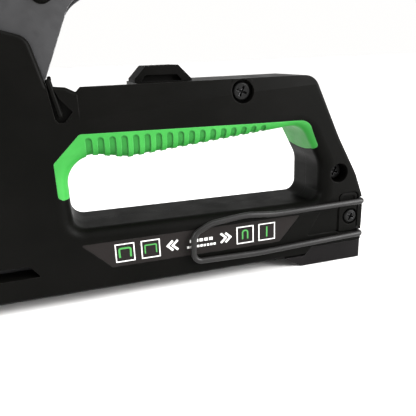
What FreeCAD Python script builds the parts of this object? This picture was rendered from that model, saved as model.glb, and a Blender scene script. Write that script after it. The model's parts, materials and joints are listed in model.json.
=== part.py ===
import FreeCAD, Part
import math
import os
from FreeCAD import Vector

# Hand staple gun with a full-loop body, in millimetres.
# Frame: origin at the middle of the nose's bottom face, +X towards the rear,
# +Z up. The body is symmetric about the plane Y = 0, and the belt hook lies
# on the -Y side.

os.makedirs("parts", exist_ok=True)

# ---- body, the two clamped shells ----
HALF_WIDTH = 15.0          # half of the body's width
WALL = 3.1                 # shell wall
INNER_HALF = HALF_WIDTH - WALL
FRONT_X = -3.2
REAR_X = 184.2
BASE_Z = 4.7               # underside of the shells
BAR_TOP_Z = 80.2           # top of the fixed grip bar
COLUMN_TOP_Z = 103.0       # top of the front column
EDGE_ROUND = 1.5           # outer edges
LOOP_ROUND = 5.0           # edges of the finger loop
FAR = 60.0                 # longer than any cut needs
CLOSE_GAP = 0.3            # usual room between two neighbouring pieces
TIP_GAP = 0.1              # room where two pieces only just clear

# ---- nose guide ----
NOSE_HALF_T = 1.25         # half of the front plate's thickness
NOSE_HALF = 7.9
NOSE_TOP_Z = 32.9
NOSE_CHEEK_X = 15.5
NOSE_RUNNER_TOP_Z = 28.0

# ---- lever ----
PIVOT = Vector(38.0, 0.0, 82.0)
PIN_R = 3.0
RUN_GAP = 0.05             # radial clearance of every running fit
OPEN_DEG = 32.0            # lever angle at rest, above the closed position
PLATE_IN = 9.4             # inner face of the lever's side plates
PLATE_OUT = 11.4           # outer face
STOP_TOP_Z = 86.0
STOP_HALF = 7.8
STOP_ROUND = 0.4
STOP_POCKET = 2.0          # depth of the pocket in each of its sides
PLATE_BOTTOM_Z = STOP_TOP_Z + 0.3
WEB_TOP_Z = 101.5
WEB_X = (71.0, 147.0)
LANDING_X = (93.0, 107.0)  # cross plate that meets the stop
SHEET = 2.0                # lever and hammer sheet thickness
EYE_R = 9.0                # lever plates round the pivot
PRONG_REACH = 36.5         # from the pivot to the prongs' tips
PIN_HEAD_R = 5.0
PIN_HEAD_H = 1.4
RING_R = 4.9
RING_T = 0.7
RING_BORE_R = 2.3
BUSHING_R = 5.2
COVER_HALF = 13.4
COVER_ROUND = 3.5
COVER_RIVETS_X = (84.0, 138.0)
COVER_RIVETS_Z = 94.5
COVER_RIVET_R = 1.8
PAD_HALF = 8.6
PAD_X = (97.0, 172.0)
PAD_LOW_Z = 103.0
PAD_GROOVES = 12
PAD_GROOVE_PITCH = 5.8

# ---- drive line ----
BLADE_X = 1.4              # front face of the driver blade
BLADE_T = 1.2
BLADE_HALF = 5.2
HAMMER_X = BLADE_X + BLADE_T
SHELF_Z = 30.0
SPRING_X = 14.3            # axis of the power spring, seat and knob
SPRING_R = 8.6
SPRING_WIRE_R = 1.2
SPRING_TURNS = 9
SHELF_T = 3.0
SHELF_X = 24.0             # rear edge of the hammer's shelf
SHELF_HALF = 9.8
HAMMER_HALF = 11.7
HAMMER_TOP_Z = 78.0
BLADE_Z = (0.3, 62.0)
BLADE_RIVET_R = 1.5
BLADE_RIVETS_Z = (40.0, 54.0)
BUMPER_LOW_Z = 20.0
BUMPER_X = (6.0, 24.2)
BUMPER_HALF = 9.0
SEAT_Z = 83.0              # underside of the spring seat
SEAT_R = 8.8
SEAT_T = 2.6
HUB_R = 6.0
HUB_H = 9.0
SEAT_NOSE_R = 5.4
SEAT_NOSE_H = 4.0
STEM_R = 4.0
COLLAR_R = 6.0
COLLAR_Z = (97.0, 99.6)
KNOB_LOW_Z = COLUMN_TOP_Z + CLOSE_GAP
KNOB_R = 10.0
KNOB_H = 9.0
KNOB_FLUTES = 16
KNOB_FLUTE_R = 1.3

# ---- magazine ----
CHANNEL_HALF = 6.45
CHANNEL_IN = 5.45
CHANNEL_SHEET = CHANNEL_HALF - CHANNEL_IN
CHANNEL_LOW_Z = 0.8
CHANNEL_TOP_Z = 16.3
CHANNEL_X = (2.7, 146.5)
LEVEL_WINDOW_X = (18.0, 46.0)
LEVEL_WINDOW_Z = (10.0, 13.6)
RAIL_HALF = 4.0
RAIL_Z = (2.0, 14.0)
RAIL_X = (3.0, 166.0)
RAIL_SHEET = 1.0
RAIL_PIN = (162.0, 6.0)    # X, Z
RAIL_PIN_R = 1.5
RAIL_PIN_HALF = 11.0
CAP_TOP_Z = 8.2
CAP_FRONT_X = 147.2
FOOT_REAR_X = REAR_X - 0.3
TANG_HALF = 6.2
TANG_X = 158.8
TANG_TOP_Z = 15.1
STAPLES_X = (2.75, 62.4)
STAPLE_OUT = (5.3, 15.2)   # half width and top of the staples
STAPLE_IN = (4.1, 14.05)   # half width and top of the space under them
STAPLES_LOW_Z = 1.2
PUSHER_X = (62.6, 74.0)
PUSHER_OUT = (5.25, 15.15)
PUSHER_IN = (4.15, 14.15)
PUSHER_LOW_Z = 1.0
FEED_Z = 8.0               # axis of the pusher's spring
FEED_X = 8.0               # its front end
FEED_R = 2.0
FEED_WIRE_R = 0.35
FEED_PITCH = 2.3
FEED_TURNS = 22
BUTTON_X = 177.8
BUTTON_HALF = 4.0
BUTTON_Z = (9.3, 12.9)

# ---- belt hook, a bent wire ----
WIRE_R = 1.2
WIRE_BEND = 1.5                # centre-line radius of the bends at its ends
HOOK_PIVOT = (182.3, -12.2)    # X, Y of its vertical axis
HOOK_SIDE_Y = -16.8
HOOK_TOP_Z = 26.7
HOOK_LOW_Z = 11.9
HOOK_PIN = 4.4                 # length of each upright end
HOOK_GAP = 0.2                 # room round the wire in its slots

# ---- screws, all driven from the -Y side ----
# x, z, radius of the recess, radius of the head, depth of the head's face
SCREWS = [(128.7, 75.5, 4.4, 3.4, 1.6), (171.3, 39.8, 4.1, 3.3, 4.2), (30.0, 50.0, 4.2, 3.3, 3.0),
          (30.0, 24.0, 4.2, 3.3, 3.0), (177.6, 19.9, 3.7, 2.9, -0.3)]
TAIL_SCREW = 4             # the last one holds the tail block
SCREW_HEAD_H = 2.0
SCREW_SHANK_R = 1.7
SCREW_LENGTH = 24.0
SCREW_TIP_R = 0.4
SCREW_TIP_H = 2.0
CROSS_REACH = 0.6          # arm of the cross recess, as a share of the head's radius
CROSS_HALF = 0.4
CROSS_DEPTH = 1.3
CROSS_TURN_DEG = 25.0


# ================= helpers =================

def rounded_wire(corners, y=0.0):
    """Closed wire in the XZ plane at y. Each corner is (x, z) or (x, z, radius)."""
    points = [Vector(c[0], y, c[1]) for c in corners]
    radii = [c[2] if len(c) > 2 else 0.0 for c in corners]
    count = len(points)
    entries = []
    exits = []
    middles = []
    for i in range(count):
        here = points[i]
        if radii[i] == 0.0:
            entries.append(here)
            exits.append(here)
            middles.append(None)
            continue
        back = (points[i - 1] - here).normalize()
        ahead = (points[(i + 1) % count] - here).normalize()
        half = back.getAngle(ahead) / 2
        reach = radii[i] / math.tan(half)
        bisector = (back + ahead).normalize()
        centre_distance = radii[i] / math.sin(half)
        entries.append(here + back * reach)
        exits.append(here + ahead * reach)
        middles.append(here + bisector * (centre_distance - radii[i]))
    edges = []
    for i in range(count):
        if middles[i] is not None:
            edges.append(Part.Arc(entries[i], middles[i], exits[i]).toShape())
        start = exits[i]
        end = entries[(i + 1) % count]
        if (end - start).Length > 1e-6:
            edges.append(Part.LineSegment(start, end).toShape())
    return Part.Wire(edges)


def prism(corners, y0, y1):
    """Solid between y0 and y1 with a side outline of (x, z, radius) corners."""
    return Part.Face(rounded_wire(corners, y0)).extrude(Vector(0, y1 - y0, 0))


def both_sides(corners, y0, y1):
    """The same prism on the +Y side and on the -Y side."""
    return [prism(corners, y0, y1), prism(corners, -y1, -y0)]


def block(x, y, z):
    """Box given its (low, high) pairs."""
    return Part.makeBox(x[1] - x[0], y[1] - y[0], z[1] - z[0], Vector(x[0], y[0], z[0]))


def rod_y(x, z, radius, y0, y1):
    return Part.makeCylinder(radius, y1 - y0, Vector(x, y0, z), Vector(0, 1, 0))


def rod_z(x, y, radius, z0, z1):
    return Part.makeCylinder(radius, z1 - z0, Vector(x, y, z0), Vector(0, 0, 1))


def edges_where(shape, test):
    """Edges whose middle point passes the test."""
    found = []
    for edge in shape.Edges:
        low, high = edge.ParameterRange
        if test(edge.valueAt((low + high) / 2)):
            found.append(edge)
    return found


def save(name, shape):
    """Write one sub-part as a STEP file."""
    clean = shape.removeSplitter()
    solids = clean.Solids
    out = solids[0] if len(solids) == 1 else Part.makeCompound(solids)
    out.exportStep(os.path.join("parts", name + ".step"))
    print(name, "solids", len(solids), "volume", round(out.Volume, 1), "valid", out.isValid())


def turned_wire(points, radii):
    """Open 3-D path of straight runs and tangent arcs."""
    edges = []
    start = points[0]
    for i in range(1, len(points) - 1):
        here = points[i]
        back = (points[i - 1] - here).normalize()
        ahead = (points[i + 1] - here).normalize()
        half = back.getAngle(ahead) / 2
        reach = radii[i - 1] / math.tan(half)
        enter = here + back * reach
        leave = here + ahead * reach
        bisector = (back + ahead).normalize()
        middle = here + bisector * (radii[i - 1] / math.sin(half) - radii[i - 1])
        if (enter - start).Length > 1e-6:
            edges.append(Part.LineSegment(start, enter).toShape())
        edges.append(Part.Arc(enter, middle, leave).toShape())
        start = leave
    edges.append(Part.LineSegment(start, points[-1]).toShape())
    return Part.Wire(edges)


def bent_rod(points, radii, radius):
    """Round wire that follows a path of straight runs and tangent arcs."""
    path = turned_wire(points, radii)
    direction = points[1] - points[0]
    section = Part.Wire(Part.makeCircle(radius, points[0], direction))
    return path.makePipeShell([section], True, False)


def coil(radius, wire_r, pitch, height):
    """Helical spring along +Z from z = 0, centre line to centre line."""
    helix = Part.makeHelix(pitch, height, radius)
    start = Vector(radius, 0, 0)
    tangent = Vector(0, 2 * math.pi * radius, pitch)
    section = Part.Wire(Part.makeCircle(wire_r, start, tangent))
    return Part.Wire(helix).makePipeShell([section], True, True)


def opened(shape):
    """Turn a lever piece from the closed position to the rest position."""
    turned = shape.copy()
    turned.rotate(PIVOT, Vector(0, 1, 0), -OPEN_DEG)
    return turned


# ================= outlines =================

BODY_OUTLINE = [
    (FRONT_X, BASE_Z, 3.0),
    (FRONT_X, COLUMN_TOP_Z, 8.0),
    (34.0, COLUMN_TOP_Z, 20.0),
    (55.4, 96.5, 5.0),
    (59.3, BAR_TOP_Z + 0.7, 0.4),
    (65.2, BAR_TOP_Z + 0.1, 3.0),
    (68.4, BAR_TOP_Z - 1.6, 0.4),
    (70.0, BAR_TOP_Z, 0.6),
    (159.0, BAR_TOP_Z, 6.5),
    (170.9, 55.0, 60.0),
    (180.0, 38.5, 25.0),
    (REAR_X, 27.4, 14.0),
    (REAR_X, CAP_TOP_Z + 0.3),
    (159.0, CAP_TOP_Z + 0.3),
    (156.0, BASE_Z),
]

LOOP_OUTLINE = [
    (62.2, 28.6, 5.2),
    (163.7, 27.6, 4.5),
    (163.7, 44.0, 10.0),
    (154.9, 61.0, 8.0),
    (84.3, 54.0, 12.0),
    (62.2, 57.7, 10.0),
]

GRIP_OUTLINE = [
    (67.9, 64.4, 1.5),
    (58.2, 54.9, 1.0),
    (58.2, 42.6, 1.2),
    (59.8, 41.3, 0.8),
    (75.0, 41.3),
    (75.0, 50.0),
    (150.0, 50.0),
    (156.2, 50.3, 0.5),
    (162.3, 50.3, 1.7),
    (156.6, 62.9, 5.5),
]

GROOVE_COUNT = 17
GROOVE_FIRST_X = 70.8
GROOVE_PITCH = 4.15
GROOVE_WIDTH = 2.3
GROOVE_DEPTH = 0.4
GROOVE_TOP_Z = 61.6
GROOVE_DROP = 0.035        # each groove's top is this much lower than the last


def body_block():
    """The whole body before it is hollowed, with the finger loop and rounded edges."""
    body = prism(BODY_OUTLINE, -HALF_WIDTH, HALF_WIDTH)

    def outer_edge(point):
        on_side = abs(abs(point.y) - HALF_WIDTH) < 1e-3
        step = 59.0 < point.x < 71.0 and point.z > 70.0
        return on_side and not step and point.z > CAP_TOP_Z + 1.0

    body = body.makeFillet(EDGE_ROUND, edges_where(body, outer_edge))
    body = body.cut(prism(LOOP_OUTLINE, -FAR, FAR))

    def loop_edge(point):
        on_side = abs(abs(point.y) - HALF_WIDTH) < 1e-3
        inside = 60.0 < point.x < 166.0 and 27.0 < point.z < 62.5
        return on_side and inside

    return body.makeFillet(LOOP_ROUND, edges_where(body, loop_edge))


# x, height of the crease, inset of the facet at the top of the bar
CREASE = [(68.7, 68.9, 0.25), (84.0, 70.7, 1.2), (103.0, 73.0, 1.6), (126.0, 74.8, 1.6),
          (166.0, 77.0, 1.6)]


def bar_facets():
    """Wedges that slope the sides of the grip bar inwards above a rising crease."""
    wedges = []
    for side in (-1, 1):
        sections = []
        for x, crease_z, inset in CREASE:
            top = BAR_TOP_Z + 1.0
            outer = side * (HALF_WIDTH + 3.0)
            corners = [Vector(x, side * HALF_WIDTH, crease_z), Vector(x, outer, crease_z),
                       Vector(x, outer, top), Vector(x, side * (HALF_WIDTH - inset), top)]
            sections.append(Part.makePolygon(corners + [corners[0]]))
        wedges.append(Part.makeLoft(sections, True, True))
    return wedges


NOTCH_DEPTH = 2.2
RIB_R = 0.9
RIB_TOP = (60.1, 82.5)
RIB_FOOT = (62.5, 71.2)


def side_notches():
    """Pockets in both sides where the column meets the bar, and the round rib in each."""
    pocket = [(58.7, 85.0), (60.7, 69.7, 0.6), (61.6, 68.7, 0.6), (63.8, 68.7, 0.4),
              (66.8, 72.2, 0.5), (63.0, 76.6, 2.0), (61.4, 80.0), (61.4, 85.0)]
    cut = both_sides(pocket, HALF_WIDTH - NOTCH_DEPTH, HALF_WIDTH + 1.0)
    ribs = []
    for side in (-1, 1):
        y = side * (HALF_WIDTH - RIB_R)
        top = Vector(RIB_TOP[0], y, RIB_TOP[1])
        foot = Vector(RIB_FOOT[0], y, RIB_FOOT[1])
        round_part = Part.makeCylinder(RIB_R, (foot - top).Length, top, foot - top)
        ribs.append(round_part.fuse([Part.makeSphere(RIB_R, top), Part.makeSphere(RIB_R, foot)]))
    across = Vector(RIB_TOP[1] - RIB_FOOT[1], 0, RIB_FOOT[0] - RIB_TOP[0]).normalize() * RIB_R
    web = [(RIB_TOP[0] - across.x, RIB_TOP[1] - across.z),
           (RIB_TOP[0] + across.x, RIB_TOP[1] + across.z),
           (RIB_FOOT[0] + across.x, RIB_FOOT[1] + across.z),
           (RIB_FOOT[0] - across.x, RIB_FOOT[1] - across.z)]
    ribs += both_sides(web, INNER_HALF, HALF_WIDTH - RIB_R)
    return cut, ribs


def body_cavities():
    """Hollow spaces inside the clamped shells."""
    lower_column = [(-0.4, 20.0), (-0.4, 100.0, 5.0), (31.0, 100.0, 4.0), (33.0, 130.0),
                    (73.5, 130.0), (73.5, 81.6), (59.6, 72.0), (55.5, 69.6), (55.5, 30.0),
                    (46.0, 20.0)]
    bar_front = [(77.0, 67.2), (77.0, 73.4), (88.0, 73.4), (88.0, 67.2)]
    bar = [(91.0, 67.2), (91.0, 77.2), (155.0, 77.2), (158.5, 67.2)]
    base = [(62.0, 9.0), (62.0, 25.0), (168.0, 25.0), (168.0, 15.5), (147.0, 15.5), (147.0, 9.0)]
    rear = [(166.3, 33.0), (166.3, 44.0), (162.5, 54.0), (164.0, 57.0), (175.8, 35.5),
            (175.8, 33.0)]
    outlines = (lower_column, bar_front, bar, base, rear)
    spaces = [prism(outline, -INNER_HALF, INNER_HALF) for outline in outlines]
    tunnel = block((-FAR, CHANNEL_X[1] + CLOSE_GAP), (-CHANNEL_HALF, CHANNEL_HALF),
                   (0, CHANNEL_TOP_Z))
    half = NOSE_HALF + TIP_GAP
    front = block((-FAR, NOSE_CHEEK_X + 0.7), (-half, half), (0, NOSE_TOP_Z + TIP_GAP))
    blade_way = block((-0.4, 5.0), (-INNER_HALF, INNER_HALF), (CHANNEL_TOP_Z, BLADE_RIVETS_Z[0]))
    return spaces + [tunnel, front, blade_way]


def tang_way():
    """Room for the end cap's tang in the rear of the body."""
    half = TANG_HALF + 0.2
    return block((CHANNEL_X[1], REAR_X + FAR), (-half, half), (0, TANG_TOP_Z + CLOSE_GAP))


TROUGH_Z = 76.4
STOP_X = (89.6, 111.0)


def lever_trough():
    """Lowered bed in front of the lever stop, open towards the +Y side."""
    near_rim = 2.4
    return block((60.8, STOP_X[0]), (-HALF_WIDTH + near_rim, FAR), (TROUGH_Z, 90.0))


def bumper_bed():
    """Solid block between the shells under the hammer's bumper."""
    return block((5.5, 46.0), (-INNER_HALF - 0.5, INNER_HALF + 0.5),
                 (CHANNEL_TOP_Z, BUMPER_LOW_Z))


def screw_bosses():
    bosses = []
    for x, z, recess_r, head_r, sink in SCREWS:
        bosses.append(rod_y(x, z, recess_r + 1.2, -HALF_WIDTH + 1.0, 0))
        bosses.append(rod_y(x, z, SCREW_SHANK_R + 2.0, 0, HALF_WIDTH - 1.0))
    return bosses


def screw_hole(x, z, recess_r, head_r, sink):
    """Recess for the head and bore for the shank."""
    seat_y = -HALF_WIDTH + sink + SCREW_HEAD_H
    recess = rod_y(x, z, recess_r, -FAR, seat_y)
    return recess.fuse(rod_y(x, z, SCREW_SHANK_R, seat_y, seat_y + SCREW_LENGTH))


def window_slots():
    """Staple-level windows low on the front of both sides."""
    outline = [(12.0, 13.7, 1.0), (12.0, 18.5, 1.0), (45.2, 18.5, 0.6), (48.2, 14.4, 0.4),
               (48.2, 13.7, 0.2)]
    return both_sides(outline, CHANNEL_HALF, FAR)


LABEL_OUTLINE = [(63.8, 23.6, 0.4), (74.6, 13.1, 1.0), (144.2, 13.1, 1.0), (153.5, 23.6, 0.4)]
REAR_PANEL = [(156.9, 13.6, 0.6), (163.1, 23.8, 0.6), (171.5, 23.8), (171.5, 13.6)]
LABEL_POCKET = 0.6
LABEL_T = 0.5


def label_panel(side):
    face = HALF_WIDTH - LABEL_POCKET
    low, high = sorted((side * face, side * (face + LABEL_T)))
    return prism(LABEL_OUTLINE, low, high)


def knob_bore():
    return rod_z(SPRING_X, 0, STEM_R + RUN_GAP, COLLAR_Z[0] - 2.0, KNOB_LOW_Z + KNOB_H)


def hook_slots():
    """Open corners that the wire's short arms turn through, with room for the bends."""
    x, y = HOOK_PIVOT
    reach = WIRE_R + HOOK_GAP
    bend = WIRE_BEND + reach
    slots = []
    for z, inward in ((HOOK_TOP_Z, -1), (HOOK_LOW_Z, 1)):
        slots.append(block((x - reach, REAR_X + FAR), (-FAR, y + reach), (z - reach, z + reach)))
        low, high = sorted((z, z + inward * bend))
        slots.append(rod_z(x, y, bend - 0.1, low, high))
    return slots


def hook_bores():
    """Bores for the wire's upright ends."""
    x, y = HOOK_PIVOT
    radius = WIRE_R + RUN_GAP
    depth = HOOK_PIN + 2 * HOOK_GAP
    ends = ((HOOK_TOP_Z - depth, HOOK_TOP_Z), (HOOK_LOW_Z, HOOK_LOW_Z + depth))
    return [rod_z(x, y, radius, low, high) for low, high in ends]


TAIL_ZONE = [(171.5, 12.6, 1.5), (171.5, 31.0, 2.5), (200.0, 31.0), (200.0, 12.6)]
TAIL_INNER_Y = -7.0
TAIL_GROOVE_W = 0.8
TAIL_GROOVE_DEPTH = 0.7


def tail_grooves():
    """Rounded-rectangle groove and shallow pocket in the tail block's side."""
    x = (171.5, 181.4)
    z = (12.6, 31.0)
    w = TAIL_GROOVE_W
    outer = [(x[0], z[0], 1.5), (x[0], z[1], 2.5), (x[1], z[1], 2.5), (x[1], z[0], 1.5)]
    inner = [(x[0] + w, z[0] + w, 0.8), (x[0] + w, z[1] - w, 1.7), (x[1] - w, z[1] - w, 1.7),
             (x[1] - w, z[0] + w, 0.8)]
    low = -HALF_WIDTH - 1.0
    high = -HALF_WIDTH + TAIL_GROOVE_DEPTH
    ring = prism(outer, low, high).cut(prism(inner, low, high))
    pocket = [(173.3, 24.6, 0.8), (173.3, 29.3, 1.2), (179.6, 29.3, 1.2), (179.6, 24.6, 0.8)]
    return [ring, prism(pocket, low, -HALF_WIDTH + 0.4)]


def make_shells():
    """Both shells, and the blanks that are cut from the body for the grip and the tail."""
    body = body_block()
    insert_zone = grip_zone()
    grip = body.common(insert_zone)
    tail_zone = prism(TAIL_ZONE, -HALF_WIDTH - 1, TAIL_INNER_Y)
    tail = body.common(tail_zone)
    notch_cut, notch_ribs = side_notches()
    shell = body.cut(Part.makeCompound([insert_zone] + bar_facets() + notch_cut))
    shell = shell.cut(Part.makeCompound(body_cavities()))
    bosses = [boss.common(body) for boss in screw_bosses()]
    shell = shell.fuse(bosses + notch_ribs + [bumper_bed()])
    cuts = [screw_hole(*screw) for screw in SCREWS] + window_slots() + hook_slots() + hook_bores()
    cuts += [side_pocket(LABEL_OUTLINE, side) for side in (-1, 1)]
    cuts += [side_pocket(REAR_PANEL, side) for side in (-1, 1)]
    cuts += [knob_bore(), rod_y(PIVOT.x, PIVOT.z, PIN_R, -FAR, FAR), tang_way(), lever_trough()]
    cuts += [tail_zone, insert_zone]
    for cut in cuts:
        shell = shell.cut(cut)
    length = (-FAR, REAR_X + FAR)
    height = (-FAR, COLUMN_TOP_Z + FAR)
    left = shell.common(block(length, (-FAR, 0), height))
    right = shell.common(block(length, (0, FAR), height))
    return largest(left), largest(right), grip, tail


def side_pocket(outline, side):
    """Shallow pocket in one side of the body."""
    low, high = sorted((side * (HALF_WIDTH - LABEL_POCKET), side * (HALF_WIDTH + 1.0)))
    return prism(outline, low, high)


def largest(shape):
    return max(shape.Solids, key=lambda solid: solid.Volume)


TONGUE_LOW_Z = 49.3
TONGUE_EDGE_Z = 52.0
TONGUE_X = (150.0, 161.3)


def grip_zone():
    """Space of the soft insert: a side outline, and a round tongue down the loop's rear wall."""
    zone = prism(GRIP_OUTLINE, -FAR, FAR)
    x = TONGUE_X[0]
    ends = [Vector(x, -HALF_WIDTH, TONGUE_EDGE_Z), Vector(x, HALF_WIDTH, TONGUE_EDGE_Z)]
    arc = Part.Arc(ends[0], Vector(x, 0, TONGUE_LOW_Z), ends[1]).toShape()
    chord = Part.LineSegment(ends[1], ends[0]).toShape()
    tongue = Part.Face(Part.Wire([arc, chord]))
    return zone.fuse(tongue.extrude(Vector(TONGUE_X[1] - x, 0, 0)))


def groove_cutters():
    """Rounded-top slots down both sides and across the underside of the grip."""
    cutters = []
    radius = GROOVE_WIDTH / 2
    for i in range(GROOVE_COUNT):
        x = GROOVE_FIRST_X + i * GROOVE_PITCH
        top = GROOVE_TOP_Z - GROOVE_DROP * i
        outline = [(x - radius, 45.0), (x - radius, top), (x + radius, top), (x + radius, 45.0)]
        cutters.append(prism(outline, -FAR, FAR))
        cutters.append(rod_y(x, top, radius, -FAR, FAR))
    return Part.makeCompound(cutters)


def grip_core():
    """The grip's shape less the groove depth."""
    wide = Part.Face(rounded_wire(LOOP_OUTLINE, -FAR)).makeOffset2D(GROOVE_DEPTH)
    half = HALF_WIDTH - GROOVE_DEPTH
    core = block((50, 175), (-half, half), (35, 70)).cut(wide.extrude(Vector(0, 2 * FAR, 0)))

    def loop_edge(point):
        on_side = abs(abs(point.y) - half) < 1e-3
        return on_side and 52.0 < point.x < 170.0 and 36.0 < point.z < 65.0

    return core.makeFillet(LOOP_ROUND - GROOVE_DEPTH, edges_where(core, loop_edge))


def make_grip(blank):
    """Soft insert with its grooves cut in."""
    slots = groove_cutters().cut(grip_core())
    return blank.cut(slots)


# ================= fixed steel and small pieces =================

def make_nose_guide():
    """Front plate with cheeks round the channel and runners beside the blade."""
    plate = block((-NOSE_HALF_T, NOSE_HALF_T), (-NOSE_HALF, NOSE_HALF), (0, NOSE_TOP_Z))

    def front_corner(point):
        return point.x < -NOSE_HALF_T + 0.05 and abs(point.y) > NOSE_HALF - 0.1

    plate = plate.makeFillet(1.0, edges_where(plate, front_corner))
    cheeks = []
    for side in (-1, 1):
        low, high = sorted((side * CHANNEL_HALF, side * NOSE_HALF))
        cheeks.append(block((NOSE_HALF_T, NOSE_CHEEK_X), (low, high), (0, CHANNEL_TOP_Z - TIP_GAP)))
        low, high = sorted((side * CHANNEL_IN, side * NOSE_HALF))
        cheeks.append(block((NOSE_HALF_T, HAMMER_X), (low, high), (0, NOSE_RUNNER_TOP_Z)))
    return plate.fuse(cheeks)


def make_channel():
    """Inverted U of sheet with a level window in both sides."""
    x = CHANNEL_X
    outer = block(x, (-CHANNEL_HALF, CHANNEL_HALF), (CHANNEL_LOW_Z, CHANNEL_TOP_Z))
    inner = block((x[0] - 1, x[1] + 1), (-CHANNEL_IN, CHANNEL_IN), (0, CHANNEL_TOP_Z - CHANNEL_SHEET))
    window = block(LEVEL_WINDOW_X, (-FAR, FAR), LEVEL_WINDOW_Z)
    return outer.cut(inner).cut(window)


def make_lever_stop():
    """Rubber block that the lever lands on, with a pocket in each side."""
    base = BAR_TOP_Z
    x0, x1 = STOP_X
    outline = [(x0, base), (x0, 81.4), (94.0, STOP_TOP_Z), (106.1, STOP_TOP_Z), (x1, 80.9),
               (x1, base)]
    stop = prism(outline, -STOP_HALF, STOP_HALF)
    stop = stop.makeFillet(STOP_ROUND, edges_where(stop, lambda p: p.z > base + 0.9))
    pocket = [(91.8, base + 0.2, 0.3), (93.6, 82.8, 0.4), (105.4, 82.6, 0.4), (107.4, base + 0.2, 0.3)]
    return stop.cut(Part.makeCompound(both_sides(pocket, STOP_HALF - STOP_POCKET, STOP_HALF + 1.0)))


def make_tail_block(blank):
    cuts = [screw_hole(*SCREWS[TAIL_SCREW])] + hook_slots() + hook_bores() + tail_grooves()
    for cut in cuts:
        blank = blank.cut(cut)
    return largest(blank)


def make_screw(x, z, recess_r, head_r, sink):
    """Cross-head screw lying along Y, its head towards -Y."""
    y = -HALF_WIDTH + sink
    head = rod_y(x, z, head_r, y, y + SCREW_HEAD_H)
    rim = edges_where(head, lambda p: abs(p.y - y) < 1e-3)
    head = head.makeFillet(0.7, rim)
    shank_end = y + SCREW_LENGTH
    shank = rod_y(x, z, SCREW_SHANK_R, y + SCREW_HEAD_H, shank_end)
    tip = Part.makeCone(SCREW_SHANK_R, SCREW_TIP_R, SCREW_TIP_H, Vector(x, shank_end, z),
                        Vector(0, 1, 0))
    arm = CROSS_REACH * head_r
    depth = (y - 1, y + CROSS_DEPTH)
    cross = [block((x - arm, x + arm), depth, (z - CROSS_HALF, z + CROSS_HALF)),
             block((x - CROSS_HALF, x + CROSS_HALF), depth, (z - arm, z + arm))]
    screw = head.fuse([shank, tip]).cut(Part.makeCompound(cross))
    screw.rotate(Vector(x, 0, z), Vector(0, 1, 0), CROSS_TURN_DEG)
    return screw


def make_screws():
    return Part.makeCompound([make_screw(*screw) for screw in SCREWS])


def make_pivot_pin():
    """Pin with a low round head on the -Y side and a ring groove on the +Y side."""
    x, z = PIVOT.x, PIVOT.z
    head_y = -HALF_WIDTH - PIN_HEAD_H
    ring_y = HALF_WIDTH + TIP_GAP
    pin = rod_y(x, z, PIN_R, -HALF_WIDTH, HALF_WIDTH + PIN_HEAD_H)
    head = rod_y(x, z, PIN_HEAD_R, head_y, -HALF_WIDTH)
    head = head.makeFillet(0.8, edges_where(head, lambda p: p.y < head_y + 0.1))
    groove = rod_y(x, z, PIN_HEAD_R + 1.0, ring_y, ring_y + RING_T)
    groove = groove.cut(rod_y(x, z, RING_BORE_R, 0, FAR))
    return pin.fuse(head).cut(groove)


def make_retaining_ring():
    """Flat ring with an open mouth, snapped into the pin's groove."""
    x, z = PIVOT.x, PIVOT.z
    y0 = HALF_WIDTH + TIP_GAP
    ring = rod_y(x, z, RING_R, y0, y0 + RING_T)
    ring = ring.cut(rod_y(x, z, RING_BORE_R, 0, FAR))
    mouth_half = RING_BORE_R - 0.6
    mouth = block((x - mouth_half, x + mouth_half), (y0 - 1, y0 + 2), (z - 8, z))
    return ring.cut(mouth)


def make_pivot_bushing():
    """Tube on the pin between the lever's plates."""
    half = PLATE_IN - CLOSE_GAP
    tube = rod_y(PIVOT.x, PIVOT.z, BUSHING_R, -half, half)
    return tube.cut(rod_y(PIVOT.x, PIVOT.z, PIN_R, -FAR, FAR))


def make_hammer_bumper():
    """Rubber pad under the hammer's shelf."""
    pad = block(BUMPER_X, (-BUMPER_HALF, BUMPER_HALF), (BUMPER_LOW_Z, SHELF_Z - 0.2))

    def upright(point):
        return BUMPER_LOW_Z + 1 < point.z < SHELF_Z - 1

    return pad.makeFillet(1.5, edges_where(pad, upright))


def make_power_spring():
    """Compression spring between the hammer's shelf and the spring seat."""
    low = SHELF_Z + SHELF_T + SPRING_WIRE_R
    height = SEAT_Z - SPRING_WIRE_R - low
    spring = coil(SPRING_R - SPRING_WIRE_R, SPRING_WIRE_R, height / SPRING_TURNS, height)
    spring.translate(Vector(SPRING_X, 0, low))
    return spring


# ================= knob and spring seat =================

def make_power_knob():
    """Fluted adjusting knob on top of the column, with a coin slot."""
    z0 = KNOB_LOW_Z
    top = z0 + KNOB_H
    knob = rod_z(SPRING_X, 0, KNOB_R, z0, top)
    knob = knob.makeFillet(1.6, edges_where(knob, lambda p: p.z > top - 0.1))
    flutes = []
    ring = KNOB_R + 0.6
    for i in range(KNOB_FLUTES):
        angle = 2 * math.pi * i / KNOB_FLUTES
        x = SPRING_X + ring * math.cos(angle)
        y = ring * math.sin(angle)
        flutes.append(rod_z(x, y, KNOB_FLUTE_R, z0 + 1.2, top + 3.0))
    slot = block((SPRING_X - 6.5, SPRING_X + 6.5), (-0.9, 0.9), (top - 2.0, top + 3.0))
    return knob.cut(Part.makeCompound(flutes)).cut(slot)


def make_knob_stem():
    """Stem from the knob into the spring seat, with a collar under the column's top."""
    stem = rod_z(SPRING_X, 0, STEM_R, SEAT_Z + 4.6, KNOB_LOW_Z)
    collar = rod_z(SPRING_X, 0, COLLAR_R, COLLAR_Z[0], COLLAR_Z[1])
    return stem.fuse(collar)


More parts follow.
